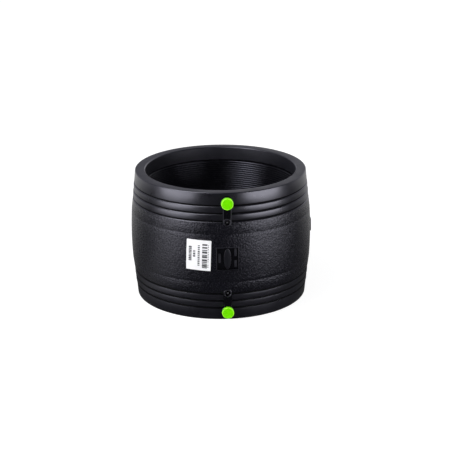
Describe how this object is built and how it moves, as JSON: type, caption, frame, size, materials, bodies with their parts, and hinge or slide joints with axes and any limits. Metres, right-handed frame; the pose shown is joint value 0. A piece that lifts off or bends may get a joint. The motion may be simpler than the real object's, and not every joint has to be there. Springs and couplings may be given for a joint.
{
  "type": "electrofusion coupler",
  "caption": "Barrel-shaped polyethylene pipe coupler with built-in heating windings, capped terminal shrouds and fusion indicators, for welding pipe ends together.",
  "frame": {"origin": "on the bore axis at mid length", "axes": "+Z along the pipe axis, upwards as the coupler stands; the terminals face -Y"},
  "size_m": [0.3066, 0.3089, 0.2172],
  "materials": {
    "body": "black polyethylene, satin collars and spark-eroded grain on the centre",
    "winding": "black polyethylene wire coat",
    "copper_wire": "bare copper",
    "contact_brass": "bright turned brass",
    "cap_green": "bright green moulded plastic",
    "indicator": "light grey plastic",
    "label": null
  },
  "bodies": {
    "coupler": {"coupler_body": "body", "upper_winding": "winding", "lower_winding": "winding", "link_wire": "copper_wire", "upper_lead_wire": "copper_wire", "lower_lead_wire": "copper_wire", "upper_terminal_pin": "contact_brass", "lower_terminal_pin": "contact_brass", "product_label": "label"},
    "upper_cap": {"upper_terminal_cap": "cap_green"},
    "upper_indicator": {"upper_indicator_pin": "indicator"},
    "lower_cap": {"lower_terminal_cap": "cap_green"},
    "lower_indicator": {"lower_indicator_pin": "indicator"}
  },
  "joints": [
    {"name": "upper_cap_pull", "type": "slide", "parent": "coupler", "child": "upper_cap", "axis": [0, -1, 0], "range_m": [0, 0.03]},
    {"name": "upper_indicator_rise", "type": "slide", "parent": "coupler", "child": "upper_indicator", "axis": [0, -1, 0], "range_m": [0, 0.003]},
    {"name": "lower_cap_pull", "type": "slide", "parent": "coupler", "child": "lower_cap", "axis": [0, -1, 0], "range_m": [0, 0.03]},
    {"name": "lower_indicator_rise", "type": "slide", "parent": "coupler", "child": "lower_indicator", "axis": [0, -1, 0], "range_m": [0, 0.003]}
  ]
}
